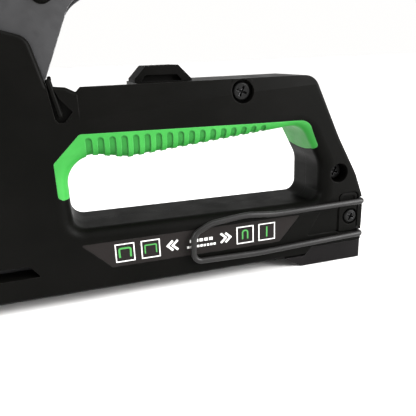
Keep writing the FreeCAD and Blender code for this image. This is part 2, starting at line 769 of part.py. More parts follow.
def make_spring_seat():
    """Flanged nut on the stem that loads the power spring."""
    plate = rod_z(SPRING_X, 0, SEAT_R, SEAT_Z, SEAT_Z + SEAT_T)
    hub = rod_z(SPRING_X, 0, HUB_R, SEAT_Z, SEAT_Z + HUB_H)
    nose = rod_z(SPRING_X, 0, SEAT_NOSE_R, SEAT_Z - SEAT_NOSE_H, SEAT_Z)
    bore = rod_z(SPRING_X, 0, STEM_R + RUN_GAP, SEAT_Z - 1.5, COLUMN_TOP_Z)
    return plate.fuse([hub, nose]).cut(bore)


# ================= hammer =================

NOTCH_Z = 72.1             # middle of the hammer's notches at rest
NOTCH_HALF = 3.9


def make_hammer():
    """Bent plate: a front strip with notches for the lever, and the spring's shelf."""
    strip = block((HAMMER_X, HAMMER_X + SHEET), (-HAMMER_HALF, HAMMER_HALF), (SHELF_Z, HAMMER_TOP_Z))
    shelf = block((HAMMER_X, SHELF_X), (-SHELF_HALF, SHELF_HALF), (SHELF_Z, SHELF_Z + SHELF_T))

    def rear_corner(point):
        return point.x > SHELF_X - 0.1 and abs(point.y) > SHELF_HALF - 0.1

    shelf = shelf.makeFillet(3.0, edges_where(shelf, rear_corner))
    notches = []
    for side in (-1, 1):
        low, high = sorted((side * (PLATE_IN - 0.4), side * (HAMMER_HALF + 1.3)))
        notches.append(block((0, 8), (low, high), (NOTCH_Z - NOTCH_HALF, NOTCH_Z + NOTCH_HALF)))
    notches += blade_rivet_rods(BLADE_X - 1, HAMMER_X + SHEET + 1)
    return strip.fuse(shelf).cut(Part.makeCompound(notches))


def blade_rivet_rods(x0, x1):
    axis = Vector(1, 0, 0)
    return [Part.makeCylinder(BLADE_RIVET_R, x1 - x0, Vector(x0, 0, z), axis) for z in BLADE_RIVETS_Z]


def make_driver_blade():
    """Flat blade that drives one staple down behind the nose plate."""
    blade = block((BLADE_X, HAMMER_X), (-BLADE_HALF, BLADE_HALF), BLADE_Z)
    return blade.cut(Part.makeCompound(blade_rivet_rods(0, 10)))


def make_blade_rivets():
    return Part.makeCompound(blade_rivet_rods(BLADE_X - 0.3, HAMMER_X + SHEET + 0.6))


# ================= lever =================

def lever_plates():
    """Side plates of the lever: front prongs, pivot eyes and the long rear limbs."""
    tip = PIVOT.x - PRONG_REACH
    root = PIVOT.x - 14.0
    prong = [(tip, PIVOT.z - 3.0, 2.0), (tip, PIVOT.z + 3.0, 2.0), (root, PIVOT.z + 5.5, 5.0),
             (PIVOT.x, PIVOT.z + EYE_R), (PIVOT.x, PIVOT.z - EYE_R), (root, PIVOT.z - 5.5, 5.0)]
    limb = [(PIVOT.x - 3.0, 73.5, 2.0), (50.0, 69.9, 3.0), (56.2, 71.4, 3.0),
            (78.0, PLATE_BOTTOM_Z, 12.0), (150.0, PLATE_BOTTOM_Z, 3.0), (150.0, WEB_TOP_Z, 3.0),
            (70.0, WEB_TOP_Z, 15.0), (48.0, 94.0, 15.0), (PIVOT.x - 3.0, 90.5, 3.0)]
    plates = []
    for y0, y1 in ((PLATE_IN, PLATE_OUT), (-PLATE_OUT, -PLATE_IN)):
        front = prism(prong, y0, y1)
        front.rotate(PIVOT, Vector(0, 1, 0), OPEN_DEG / 2)
        eye = rod_y(PIVOT.x, PIVOT.z, EYE_R, y0, y1)
        plates.append(front.fuse([prism(limb, y0, y1), eye]))
    return plates


def cover_rivet_rods(y_half):
    return [rod_y(x, COVER_RIVETS_Z, COVER_RIVET_R, -y_half, y_half) for x in COVER_RIVETS_X]


def make_lever_arm():
    """Two plates joined by a web and by the cross plate that lands on the stop."""
    width = (-PLATE_OUT, PLATE_OUT)
    web = block(WEB_X, width, (WEB_TOP_Z - SHEET, WEB_TOP_Z))
    landing = block(LANDING_X, width, (PLATE_BOTTOM_Z, PLATE_BOTTOM_Z + SHEET))
    arm = lever_plates()[0].fuse([lever_plates()[1], web, landing])
    bore = rod_y(PIVOT.x, PIVOT.z, PIN_R + RUN_GAP, -FAR, FAR)
    return opened(arm.cut(Part.makeCompound([bore] + cover_rivet_rods(FAR))))


COVER_OUTLINE = [(69.5, 89.5, 4.0), (66.0, 102.2, 5.0), (100.0, 105.0, 80.0),
                 (165.0, 106.5, 60.0), (185.0, 103.0, 7.0), (183.0, 90.5, 6.0), (160.0, 88.0, 30.0)]


def cover_blank():
    blank = prism(COVER_OUTLINE, -COVER_HALF, COVER_HALF)
    rims = edges_where(blank, lambda p: abs(p.y) > COVER_HALF - 1e-3)
    return blank.makeFillet(COVER_ROUND, rims)


def pad_zone():
    return block(PAD_X, (-PAD_HALF, PAD_HALF), (PAD_LOW_Z, PAD_LOW_Z + FAR))


def make_lever_cover():
    """Moulded shell over the rear of the lever, hollow where the plates run in."""
    half = PLATE_OUT + TIP_GAP
    inside = block((50.0, 151.0), (-half, half), (BASE_Z, WEB_TOP_Z))
    cover = cover_blank().cut(inside)
    for cut in [pad_zone()] + cover_rivet_rods(FAR):
        cover = cover.cut(cut)
    return opened(largest(cover))


def make_lever_pad():
    pad = cover_blank().common(pad_zone())
    grooves = []
    for i in range(PAD_GROOVES):
        x = PAD_X[0] + 5.0 + PAD_GROOVE_PITCH * i
        grooves.append(rod_y(x, PAD_LOW_Z + 4.3, 1.9, -FAR, FAR))
    return opened(pad.cut(Part.makeCompound(grooves)))


def make_lever_rivets():
    return opened(Part.makeCompound(cover_rivet_rods(COVER_HALF + 0.2)))


# ================= magazine =================

def make_end_cap():
    """Foot block that carries the rail, with a tang that closes the rear of the body."""
    foot_top = BASE_Z - 0.2
    foot_outline = [(154.6, 0.0), (CAP_FRONT_X, foot_top), (156.0, foot_top),
                    (159.0, CAP_TOP_Z), (FOOT_REAR_X, CAP_TOP_Z), (FOOT_REAR_X, 0.0)]
    foot = prism(foot_outline, -HALF_WIDTH, HALF_WIDTH)
    sides = edges_where(foot, lambda p: abs(p.y) > HALF_WIDTH - 1e-3 and p.x > 159 and 0.1 < p.z < 8)
    foot = foot.makeFillet(1.5, sides)
    tang = block((TANG_X, FOOT_REAR_X), (-TANG_HALF, TANG_HALF), (CAP_TOP_Z - 1, TANG_TOP_Z))
    rail_slot = block((CAP_FRONT_X - 7, RAIL_X[1]), (-RAIL_HALF, RAIL_HALF), RAIL_Z)
    half = BUTTON_HALF + TIP_GAP
    button_pocket = block((BUTTON_X - 1.8, REAR_X + FAR), (-half, half),
                          (BUTTON_Z[0] - TIP_GAP, BUTTON_Z[1] + TIP_GAP))
    pin = make_rail_pin()
    cap = foot.fuse(tang)
    for cut in (rail_slot, button_pocket, pin):
        cap = cap.cut(cut)
    return largest(cap)


def make_rail():
    """Inverted U that the staples and the pusher straddle."""
    half = RAIL_HALF - RAIL_SHEET
    outer = block(RAIL_X, (-RAIL_HALF, RAIL_HALF), RAIL_Z)
    inner = block((0.0, RAIL_X[1] + 4), (-half, half), (0, RAIL_Z[1] - RAIL_SHEET))
    return outer.cut(inner).cut(make_rail_pin())


def make_rail_pin():
    x, z = RAIL_PIN
    return rod_y(x, z, RAIL_PIN_R, -RAIL_PIN_HALF, RAIL_PIN_HALF)


def make_pusher():
    """Saddle over the rail, with a tongue inside it for the spring."""
    def saddle(size, x, low):
        half, top = size
        return block(x, (-half, half), (low, top))

    outer = saddle(PUSHER_OUT, PUSHER_X, PUSHER_LOW_Z)
    around = saddle(PUSHER_IN, (PUSHER_X[0] - 3, PUSHER_X[1] + 6), PUSHER_LOW_Z + 0.9)
    tongue = saddle((2.7, 11.0), PUSHER_X, PUSHER_LOW_Z + 0.5)
    eye = Part.makeCylinder(0.8, 20, Vector(PUSHER_X[0] - 3, 0, FEED_Z), Vector(1, 0, 0))
    return outer.cut(around).fuse(tongue).cut(eye)


def make_pusher_spring():
    """Tension spring inside the rail."""
    spring = coil(FEED_R, FEED_WIRE_R, FEED_PITCH, FEED_PITCH * FEED_TURNS)
    spring.rotate(Vector(0, 0, 0), Vector(0, 1, 0), 90)
    spring.translate(Vector(FEED_X, 0, FEED_Z))
    return spring


def make_staple_stick():
    """A glued stick of staples astride the rail."""
    half, top = STAPLE_OUT
    outer = block(STAPLES_X, (-half, half), (STAPLES_LOW_Z, top))
    half, top = STAPLE_IN
    inner = block((0, STAPLES_X[1] + 5), (-half, half), (0, top))
    return outer.cut(inner)


def make_latch():
    """Release button in the rear of the end cap."""
    end = REAR_X + 0.9
    button = block((BUTTON_X, end), (-BUTTON_HALF, BUTTON_HALF), BUTTON_Z)
    return button.makeFillet(0.6, edges_where(button, lambda p: p.x > end - 0.1))


# ================= belt hook =================

def make_belt_hook():
    """One bent wire: a flat loop beside the body and two upright ends in the tail block."""
    px, py = HOOK_PIVOT
    y = HOOK_SIDE_Y
    stops = [
        (Vector(px, py, HOOK_TOP_Z - HOOK_PIN), 0.0),
        (Vector(px, py, HOOK_TOP_Z), WIRE_BEND),
        (Vector(px, y, HOOK_TOP_Z), WIRE_BEND),
        (Vector(141.0, y, 26.2), 60.0),
        (Vector(128.5, y, 27.5), 30.0),
        (Vector(113.6, y, 25.9), 14.0),
        (Vector(106.6, y, 22.4), 4.5),
        (Vector(106.1, y, 10.9), 3.4),
        (Vector(133.5, y, 10.3), 90.0),
        (Vector(160.0, y, 11.2), 90.0),
        (Vector(px, y, HOOK_LOW_Z), WIRE_BEND),
        (Vector(px, py, HOOK_LOW_Z), WIRE_BEND),
        (Vector(px, py, HOOK_LOW_Z + HOOK_PIN), 0.0),
    ]
    points = [stop[0] for stop in stops]
    radii = [stop[1] for stop in stops[1:-1]]
    return bent_rod(points, radii, WIRE_R)


# ================= write every sub-part =================

left_shell, right_shell, grip_blank, tail_blank = make_shells()

SUB_PARTS = {
    "left_shell": left_shell,
    "right_shell": right_shell,
    "grip_insert": make_grip(grip_blank),
    "nose_guide": make_nose_guide(),
    "staple_channel": make_channel(),
    "lever_stop": make_lever_stop(),
    "tail_block": make_tail_block(tail_blank),
    "housing_screws": make_screws(),
    "lever_pivot_pin": make_pivot_pin(),
    "pivot_retaining_ring": make_retaining_ring(),
    "pivot_bushing": make_pivot_bushing(),
    "hammer_bumper": make_hammer_bumper(),
    "label_panel_left": label_panel(-1),
    "label_panel_right": label_panel(1),
    "power_spring": make_power_spring(),
    "power_knob": make_power_knob(),
    "knob_stem": make_knob_stem(),
    "spring_seat": make_spring_seat(),
    "hammer": make_hammer(),
    "driver_blade": make_driver_blade(),
    "blade_rivets": make_blade_rivets(),
    "lever_arm": make_lever_arm(),
    "lever_cover": make_lever_cover(),
    "lever_pad": make_lever_pad(),
    "lever_rivets": make_lever_rivets(),
    "end_cap": make_end_cap(),
    "magazine_rail": make_rail(),
    "rail_pin": make_rail_pin(),
    "pusher": make_pusher(),
    "pusher_spring": make_pusher_spring(),
    "staple_stick": make_staple_stick(),
    "magazine_latch": make_latch(),
    "belt_hook": make_belt_hook(),
}

for part_name, part_shape in SUB_PARTS.items():
    save(part_name, part_shape)
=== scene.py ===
import json
import math
import bmesh
import bpy
from mathutils import Matrix, Vector


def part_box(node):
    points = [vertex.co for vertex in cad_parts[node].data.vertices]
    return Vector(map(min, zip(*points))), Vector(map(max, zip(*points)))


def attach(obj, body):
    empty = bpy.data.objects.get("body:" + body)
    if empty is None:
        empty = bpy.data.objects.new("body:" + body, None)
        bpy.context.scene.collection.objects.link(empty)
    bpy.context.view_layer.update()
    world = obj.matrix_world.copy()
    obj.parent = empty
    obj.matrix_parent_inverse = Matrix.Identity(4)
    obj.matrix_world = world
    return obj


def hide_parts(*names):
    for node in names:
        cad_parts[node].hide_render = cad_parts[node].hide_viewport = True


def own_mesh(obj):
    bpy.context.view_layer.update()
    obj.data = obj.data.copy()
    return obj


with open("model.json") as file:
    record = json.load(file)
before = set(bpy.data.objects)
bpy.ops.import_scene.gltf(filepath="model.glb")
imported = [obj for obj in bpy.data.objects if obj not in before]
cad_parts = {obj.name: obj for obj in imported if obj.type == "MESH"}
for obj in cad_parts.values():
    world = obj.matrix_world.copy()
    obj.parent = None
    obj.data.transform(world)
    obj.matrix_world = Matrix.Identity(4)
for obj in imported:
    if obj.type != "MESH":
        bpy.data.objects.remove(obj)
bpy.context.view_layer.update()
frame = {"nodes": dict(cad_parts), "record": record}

# Looks of a hand staple gun: finishes for every CAD node, a copy of the power spring on the
# housing, the printed marks on its sides and knob, the studio and the camera. Metres, in the CAD's
# frame.

MM = 0.001

# ---------------------------------------------------------------- camera
CAMERA_AT = Vector((0.06268, -0.18467, 0.08895))
AZIMUTH = math.radians(-16.6)
ELEVATION = math.radians(17.74)
ROLL = math.radians(-2.16)
LENS = 41.1
SENSOR = 36.0
SHIFT_Y = -0.0024


def make_camera():
    """A camera at the reference viewing angle."""
    back = Vector((math.sin(AZIMUTH) * math.cos(ELEVATION),
                   -math.cos(AZIMUTH) * math.cos(ELEVATION), math.sin(ELEVATION)))
    right = Vector((math.cos(AZIMUTH), math.sin(AZIMUTH), 0))
    up = back.cross(right)
    side = right * math.cos(ROLL) + up * math.sin(ROLL)
    top = up * math.cos(ROLL) - right * math.sin(ROLL)
    data = bpy.data.cameras.new("camera")
    data.lens = LENS
    data.sensor_width = SENSOR
    data.clip_start = 0.01
    data.shift_y = SHIFT_Y
    camera = bpy.data.objects.new("camera", data)
    bpy.context.scene.collection.objects.link(camera)
    rows = Matrix((side, top, back)).transposed().to_4x4()
    camera.matrix_world = Matrix.Translation(CAMERA_AT) @ rows
    bpy.context.scene.camera = camera


# ---------------------------------------------------------------- materials

class Finish:
    """A Principled material and short calls for the nodes that the finishes share."""

    def __init__(self, name, **shader):
        self.material = bpy.data.materials.new(name)
        self.material.use_nodes = True
        tree = self.material.node_tree
        self.nodes = tree.nodes
        self.links = tree.links
        self.shader = self.nodes["Principled BSDF"]
        for key, value in shader.items():
            self.shader.inputs[key.replace("_", " ")].default_value = value
        self.place = self.nodes.new("ShaderNodeTexCoord").outputs["Object"]

    def add(self, kind, inputs=(), **settings):
        """New node. An input is given as (name or number, value or socket)."""
        node = self.nodes.new(kind)
        for key, value in settings.items():
            setattr(node, key, value)
        for key, value in inputs:
            if isinstance(value, bpy.types.NodeSocket):
                self.links.new(value, node.inputs[key])
            else:
                node.inputs[key].default_value = value
        return node

    def stretched(self, scale):
        """The place, with each axis multiplied by its scale."""
        return self.add("ShaderNodeMapping", [("Vector", self.place), ("Scale", scale)]).outputs[0]

    def noise(self, scale, detail=2.0, place=None):
        inputs = [("Vector", place or self.place), ("Scale", scale), ("Detail", detail)]
        return self.add("ShaderNodeTexNoise", inputs).outputs["Fac"]

    def ranged(self, value, low, high, to_low, to_high):
        inputs = [("Value", value), ("From Min", low), ("From Max", high),
                  ("To Min", to_low), ("To Max", to_high)]
        return self.add("ShaderNodeMapRange", inputs).outputs[0]

    def math(self, operation, first, second=0.0):
        return self.add("ShaderNodeMath", [(0, first), (1, second)], operation=operation).outputs[0]

    def mixed(self, factor, first, second):
        """A colour between two colours."""
        inputs = [(0, factor), (6, first), (7, second)]
        return self.add("ShaderNodeMix", inputs, data_type="RGBA").outputs[2]

    def edges(self, radius):
        """Rounded normal, and a mask that is 1 where the surface turns a corner."""
        bevel = self.add("ShaderNodeBevel", [("Radius", radius)], samples=6).outputs[0]
        plain = self.add("ShaderNodeNewGeometry").outputs["Normal"]
        dot = self.add("ShaderNodeVectorMath", [(0, bevel), (1, plain)], operation="DOT_PRODUCT")
        return bevel, self.ranged(dot.outputs["Value"], 0.995, 0.9, 0.0, 1.0)

    def bump(self, height, distance, strength=1.0, normal=None):
        inputs = [("Height", height), ("Distance", distance), ("Strength", strength)]
        if normal is not None:
            inputs.append(("Normal", normal))
        return self.add("ShaderNodeBump", inputs).outputs[0]

    def put(self, **sockets):
        """Link sockets to the shader's inputs."""
        for key, value in sockets.items():
            self.links.new(value, self.shader.inputs[key.replace("_", " ")])
        return self.material


def rgb(red, green, blue):
    return (red, green, blue, 1.0)


# Noise scales, in features per metre.
PAPER_SCALE = 35.0
CLOUD_SCALE = 45.0
ALONG_GRAIN_SCALE = 60.0
DUST_SCALE = 80.0
MOTTLE_SCALE = 90.0
PATCH_SCALE = 110.0
HANDLED_SCALE = 120.0
RUBBED_SCALE = 260.0
SHEEN_SCALE = 300.0
FILM_SCALE = 400.0
GLUE_SCALE = 500.0
CHIP_SCALE = 700.0
PEEL_SCALE = 900.0
SPECK_SCALE = 1500.0
PEBBLE_SCALE = 1700.0
ACROSS_GRAIN_SCALE = 2200.0
FINE_SCALE = 2600.0

TARNISH = rgb(0.12, 0.10, 0.08)
BRIGHT_STEEL = rgb(0.75, 0.75, 0.76)


SEAM_REACH = (0.10, 0.16)  # mm each side of the parting plane, full tone and none
SEAM_TONE = rgb(0.002, 0.002, 0.002)


def moulded(name, dark, light, worn, rough, grain=0.35, seam=False, level=0.03):
    """Moulded plastic: cloudy tone, fine grain, slightly polished corners."""
    finish = Finish(name, IOR=1.5, Specular_IOR_Level=level)
    clouds = finish.noise(CLOUD_SCALE, 3.0)
    tone = finish.mixed(finish.ranged(clouds, 0.35, 0.65, 0.0, 1.0), dark, light)
    bevel, corner = finish.edges(0.35 * MM)
    uneven = finish.ranged(finish.noise(RUBBED_SCALE, 4.0), 0.4, 0.6, 0.2, 1.0)
    rubbed = finish.math("MULTIPLY", corner, uneven)
    tone = finish.mixed(rubbed, tone, worn)
    fine = finish.noise(FINE_SCALE, 2.0)
    handled = finish.noise(HANDLED_SCALE, 4.0, finish.stretched((1.0, 1.0, 2.5)))
    roughness = finish.ranged(handled, 0.3, 0.7, rough - 0.05, rough + 0.07)
    normal = finish.bump(fine, 0.02 * MM, grain, bevel)
    if seam:
        across = finish.add("ShaderNodeSeparateXYZ", [(0, finish.place)]).outputs["Y"]
        near, far = (reach * MM for reach in SEAM_REACH)
        line = finish.ranged(finish.math("ABSOLUTE", across), near, far, 1.0, 0.0)
        tone = finish.mixed(line, tone, SEAM_TONE)
    return finish.put(Base_Color=tone, Roughness=roughness, Normal=normal)


# The grip's grooves, in mm.
GROOVE_COUNT = 17
GROOVE_FIRST_X = 70.8
GROOVE_PITCH = 4.15
GROOVE_HALF = 1.15
GROOVE_TOP_Z = 62.0
GROOVE_DROP = 0.03486      # each groove's top is this much lower than the last


def groove_mask(finish):
    """1 inside the grip's grooves, where their painted shade goes, 0 on the ridges between them."""
    split = finish.add("ShaderNodeSeparateXYZ", [(0, finish.place)])
    from_first = finish.math("SUBTRACT", split.outputs["X"], GROOVE_FIRST_X * MM)
    along = finish.math("DIVIDE", from_first, GROOVE_PITCH * MM)
    limits = [("Value", finish.math("ROUND", along)), ("Min", 0.0), ("Max", GROOVE_COUNT - 1.0)]
    number = finish.add("ShaderNodeClamp", limits).outputs[0]
    off_centre = finish.math("ABSOLUTE", finish.math("SUBTRACT", along, number))
    beside = finish.math("MULTIPLY", off_centre, GROOVE_PITCH)
    top = finish.math("SUBTRACT", GROOVE_TOP_Z, finish.math("MULTIPLY", number, GROOVE_DROP))
    height = finish.math("DIVIDE", split.outputs["Z"], MM)
    above = finish.math("MAXIMUM", finish.math("SUBTRACT", height, top), 0.0)
    squares = [finish.math("MULTIPLY", part, part) for part in (beside, above)]
    reach = finish.math("SQRT", finish.math("ADD", *squares))
    return finish.ranged(reach, GROOVE_HALF - 0.15, GROOVE_HALF + 0.1, 1.0, 0.0)


def rubber(name, deep, bright, rough, dusty, level, groove_shade=None):
    """Soft elastomer: even colour with faint mottling, a powdery bloom and a fine pebble, and
    painted shade darkening its grooves when a groove colour is given.
    """
    finish = Finish(name, IOR=1.46, Specular_IOR_Level=level)
    mottle = finish.noise(MOTTLE_SCALE, 4.0)
    tone = finish.mixed(finish.ranged(mottle, 0.35, 0.65, 0.0, 1.0), deep, bright)
    bevel, corner = finish.edges(0.3 * MM)
    bloom = finish.math("MULTIPLY", corner, 0.5)
    tone = finish.mixed(bloom, tone, dusty)
    # Painted shade: a darker colour inside the grooves, where shade falls.
    if groove_shade:
        tone = finish.mixed(groove_mask(finish), tone, groove_shade)
    pebble = finish.add("ShaderNodeTexVoronoi", [("Vector", finish.place), ("Scale", PEBBLE_SCALE)],
                        feature="SMOOTH_F1").outputs["Distance"]
    roughness = finish.ranged(finish.noise(SHEEN_SCALE, 3.0), 0.3, 0.7, rough - 0.05, rough + 0.06)
    normal = finish.bump(pebble, 0.03 * MM, 0.35, bevel)
    return finish.put(Base_Color=tone, Roughness=roughness, Normal=normal)


def steel(name, tone_low, tone_high, rough, grain_axis):
    """Rolled or ground steel: lines along one axis, dull patches and brighter corners."""
    finish = Finish(name, Metallic=1.0)
    scale = [ACROSS_GRAIN_SCALE] * 3
    scale[grain_axis] = ALONG_GRAIN_SCALE
    lines = finish.noise(1.0, 3.0, finish.stretched(scale))
    patches = finish.noise(PATCH_SCALE, 5.0)
    tone = finish.mixed(lines, tone_low, tone_high)
    tone = finish.mixed(finish.ranged(patches, 0.55, 0.8, 0.0, 0.5), tone, TARNISH)
    bevel, corner = finish.edges(0.2 * MM)
    tone = finish.mixed(finish.math("MULTIPLY", corner, 0.5), tone, BRIGHT_STEEL)
    roughness = finish.ranged(lines, 0.3, 0.7, rough - 0.08, rough + 0.1)
    normal = finish.bump(lines, 0.01 * MM, 0.4, bevel)
    return finish.put(Base_Color=tone, Roughness=roughness, Normal=normal)


def coated(name, coat, edge_metal, rough, level=0.5):
    """Dark coating over steel, thin at its corners, with an orange-peel surface."""
    finish = Finish(name, IOR=1.5, Specular_IOR_Level=level)
    bevel, corner = finish.edges(0.25 * MM)
    chips = finish.ranged(finish.noise(CHIP_SCALE, 5.0), 0.52, 0.6, 0.0, 1.0)
    bare = finish.math("MULTIPLY", corner, chips)
    dust = finish.ranged(finish.noise(DUST_SCALE, 4.0), 0.4, 0.7, 0.0, 1.0)
    tone = finish.mixed(dust, coat, tuple(1.5 * part for part in coat[:3]) + (1.0,))
    tone = finish.mixed(bare, tone, edge_metal)
    peel = finish.noise(PEEL_SCALE, 2.0)
    roughness = finish.ranged(finish.noise(FILM_SCALE, 3.0), 0.3, 0.7, rough - 0.06, rough + 0.08)
    normal = finish.bump(peel, 0.02 * MM, 0.5, bevel)
    return finish.put(Base_Color=tone, Roughness=roughness, Normal=normal)


STAPLE_WIRE = 0.7          # width of one staple's wire, in mm


def stacked_staples(name):
    """Bright wires side by side under a thin film of glue, with painted shade between the wires and
    a painted highlight along each wire's middle.
    """
    finish = Finish(name, Metallic=1.0, Coat_Weight=0.25, Coat_Roughness=0.2)
    along = finish.add("ShaderNodeSeparateXYZ", [(0, finish.place)]).outputs["X"]
    phase = finish.math("FRACT", finish.math("DIVIDE", along, STAPLE_WIRE * MM))
    wire = finish.math("SINE", finish.math("MULTIPLY", phase, math.pi))
    # Painted light: dark between the wires (painted shade), bright along each wire's middle
    # (painted highlight).
    lit = finish.ranged(wire, 0.1, 0.5, 0.0, 1.0)
    tone = finish.mixed(lit, rgb(0.10, 0.10, 0.10), rgb(0.72, 0.72, 0.74))
    normal = finish.bump(wire, 0.2 * MM, 0.8)
    roughness = finish.ranged(finish.noise(GLUE_SCALE, 3.0), 0.3, 0.7, 0.2, 0.36)
    return finish.put(Base_Color=tone, Roughness=roughness, Normal=normal)


def ink(name, colour, thin):
    """Screen-printed ink: nearly even, thinner in specks."""
    finish = Finish(name, IOR=1.48)
    specks = finish.ranged(finish.noise(SPECK_SCALE, 3.0), 0.62, 0.72, 0.0, 1.0)
    tone = finish.mixed(specks, colour, thin)
    roughness = finish.ranged(finish.noise(FILM_SCALE, 2.0), 0.3, 0.7, 0.42, 0.55)
    normal = finish.bump(finish.noise(FINE_SCALE, 2.0), 0.01 * MM, 0.3)
    return finish.put(Base_Color=tone, Roughness=roughness, Normal=normal)


X_AXIS, Z_AXIS = 0, 2
BODY = moulded("body_plastic", rgb(0.0020, 0.0020, 0.0017), rgb(0.0028, 0.0027, 0.0024),
               rgb(0.011, 0.0105, 0.0098), 0.42, seam=True)
FOOT = moulded("foot_plastic", rgb(0.0066, 0.0061, 0.0062), rgb(0.0080, 0.0073, 0.0075),
               rgb(0.03, 0.029, 0.029), 0.46)
LABEL = moulded("label_panel", rgb(0.0130, 0.0114, 0.0110), rgb(0.0150, 0.0132, 0.0127),
                rgb(0.03, 0.029, 0.028), 0.50, grain=0.2)
# The groove colour is painted shade in the grip's grooves.
GRIP = rubber("grip_rubber", rgb(0.020, 0.205, 0.027), rgb(0.028, 0.240, 0.035), 0.50,
              rgb(0.08, 0.36, 0.10), level=0.25, groove_shade=rgb(0.011, 0.145, 0.017))
STOP = rubber("stop_rubber", rgb(0.0022, 0.0021, 0.0019), rgb(0.0032, 0.0030, 0.0028), 0.6,
              rgb(0.012, 0.012, 0.011), level=0.03)
ZINC = steel("zinc_steel", rgb(0.42, 0.43, 0.44), rgb(0.62, 0.62, 0.62), 0.34, X_AXIS)
TOOL = steel("hard_steel", rgb(0.22, 0.22, 0.23), rgb(0.42, 0.42, 0.43), 0.30, Z_AXIS)
SPRING = steel("spring_steel", rgb(0.16, 0.16, 0.17), rgb(0.34, 0.34, 0.35), 0.30, Z_AXIS)
BLACKED = coated("black_steel", rgb(0.012, 0.012, 0.013), rgb(0.30, 0.30, 0.31), 0.42)
SCREW = coated("screw_steel", rgb(0.003, 0.003, 0.003), rgb(0.20, 0.20, 0.21), 0.42, level=0.1)
WIRE = coated("hook_wire", rgb(0.0085, 0.0080, 0.0080), rgb(0.10, 0.10, 0.10), 0.36, level=0.2)
STAPLES = stacked_staples("staple_wire")
WHITE_INK = ink("white_ink", rgb(0.72, 0.72, 0.70), rgb(0.40, 0.40, 0.39))
GREEN_INK = ink("green_ink", rgb(0.035, 0.235, 0.04), rgb(0.02, 0.15, 0.025))

FINISHES = {
    "body_plastic": BODY, "foot_plastic": FOOT, "label_panel": LABEL, "grip_rubber": GRIP,
    "stop_rubber": STOP, "zinc_steel": ZINC, "hard_steel": TOOL, "spring_steel": SPRING,
    "black_steel": BLACKED, "screw_steel": SCREW, "hook_wire": WIRE, "staple_steel": STAPLES,
}


def finish_nodes():
    """Give every CAD node the finish of its slot in the record."""
    for subpart in frame["record"]["subparts"]:
        node = frame["nodes"][subpart["node"]]
        node.data.materials.clear()
        node.data.materials.append(FINISHES[subpart["material_slot"]])


# ---------------------------------------------------------------- power spring


def add_spring():
    """The power spring as a copy of its CAD mesh that rides on the housing, with the CAD node
    hidden.
    """
    coil = bpy.data.objects.new("power_spring_coil", frame["nodes"]["power_spring"].data.copy())
    bpy.context.scene.collection.objects.link(coil)
    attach(coil, "housing")
    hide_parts("power_spring")
    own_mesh(coil)


# ---------------------------------------------------------------- printed marks

INK_T = 0.05 * MM


def offset_pairs(points, width, closed):
    """Left and right points of a stroke along the points, mitred at its corners."""
    count = len(points)
    pairs = []
    for i in range(count):
        before = points[i - 1] if i > 0 or closed else points[i]
        after = points[(i + 1) % count] if i < count - 1 or closed else points[i]
        into = (points[i] - before).normalized() if before != points[i] else None
        out = (after - points[i]).normalized() if after != points[i] else None
        into = into or out
        out = out or into
        across = Vector((-(into.y + out.y), into.x + out.x)).normalized()
        reach = width / 2 / max(0.3, across.dot(Vector((-into.y, into.x))))
        pairs.append((points[i] + across * reach, points[i] - across * reach))
    return pairs


def add_stroke(mesh, points, width, to_world, closed=False):
    """Add one raised line of ink to a bmesh. to_world turns (u, v, height) into a point."""
    rows = []
    for left, right in offset_pairs([Vector(p) for p in points], width, closed):
        corners = ((left, 0.0), (left, INK_T), (right, INK_T), (right, 0.0))
        rows.append([mesh.verts.new(to_world(p.x, p.y, h)) for p, h in corners])
    spans = len(rows) if closed else len(rows) - 1
    for i in range(spans):
        here = rows[i]
        there = rows[(i + 1) % len(rows)]
        for k in range(4):
            mesh.faces.new((here[k], here[(k + 1) % 4], there[(k + 1) % 4], there[k]))
    if not closed:
        mesh.faces.new(rows[0][::-1])
        mesh.faces.new(rows[-1])


def rounded(corners, radius, steps=5):
    """Open line through the corners with each inner corner rounded."""
    points = [Vector(corners[0])]
    for i in range(1, len(corners) - 1):
        here = Vector(corners[i])
        back = (Vector(corners[i - 1]) - here).normalized() * radius
        ahead = (Vector(corners[i + 1]) - here).normalized() * radius
        for k in range(steps + 1):
            t = k / steps
            points.append(here + back * (1 - t) ** 2 + ahead * t ** 2)
    points.append(Vector(corners[-1]))
    return points


def finish_piece(name, mesh, material, body):
    """Turn a bmesh into a piece that rides on a body."""
    bmesh.ops.recalc_face_normals(mesh, faces=mesh.faces)
    data = bpy.data.meshes.new(name)
    mesh.to_mesh(data)
    mesh.free()
    data.materials.append(material)
    piece = bpy.data.objects.new(name, data)
    bpy.context.scene.collection.objects.link(piece)
    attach(piece, body)


# Marks on a side label, in mm from the label's front end and lower edge.
FRAME_STARTS = (11.8, 21.7, 60.8, 70.4)
FRAME_SIZE = 7.0
FRAME_LOW = 1.8
FRAME_LINE = 0.42
CHEVRONS_BACK = 33.9
CHEVRONS_AHEAD = 55.9
CHEVRON_STEP = 2.0
CHEVRON_SIZE = (2.1, 4.0)
CHEVRON_LINE = 0.85
# rows of plain bars: height of the row, then each bar's height and length, the gap, the count
BAR_ROWS = ((4.9, 2.0, 1.45, 0.55, 5), (2.7, 1.5, 0.95, 0.42, 9))
BARS_MIDDLE = 45.6
BAR_FILL = 0.62            # stroke width of a bar, as a share of its height

# Signs in the frames, from the frame's middle: wide, square and round staples, and a nail.
# Each has its line's corners, their rounding and the line's width.
SIGNS = (
    (((-2.1, -1.9), (-2.2, 1.8), (2.2, 1.8), (2.1, -1.9)), 0.9, 0.72),
    (((-2.2, -1.7), (-2.2, 1.7), (2.2, 1.7), (2.2, -1.7)), 0.3, 0.5),
    (((-1.1, -1.8), (-1.1, 1.9), (1.1, 1.9), (1.1, -1.8)), 1.1, 0.6),
    (((0.0, -2.2), (0.0, 2.2)), 0.0, 0.6),
)


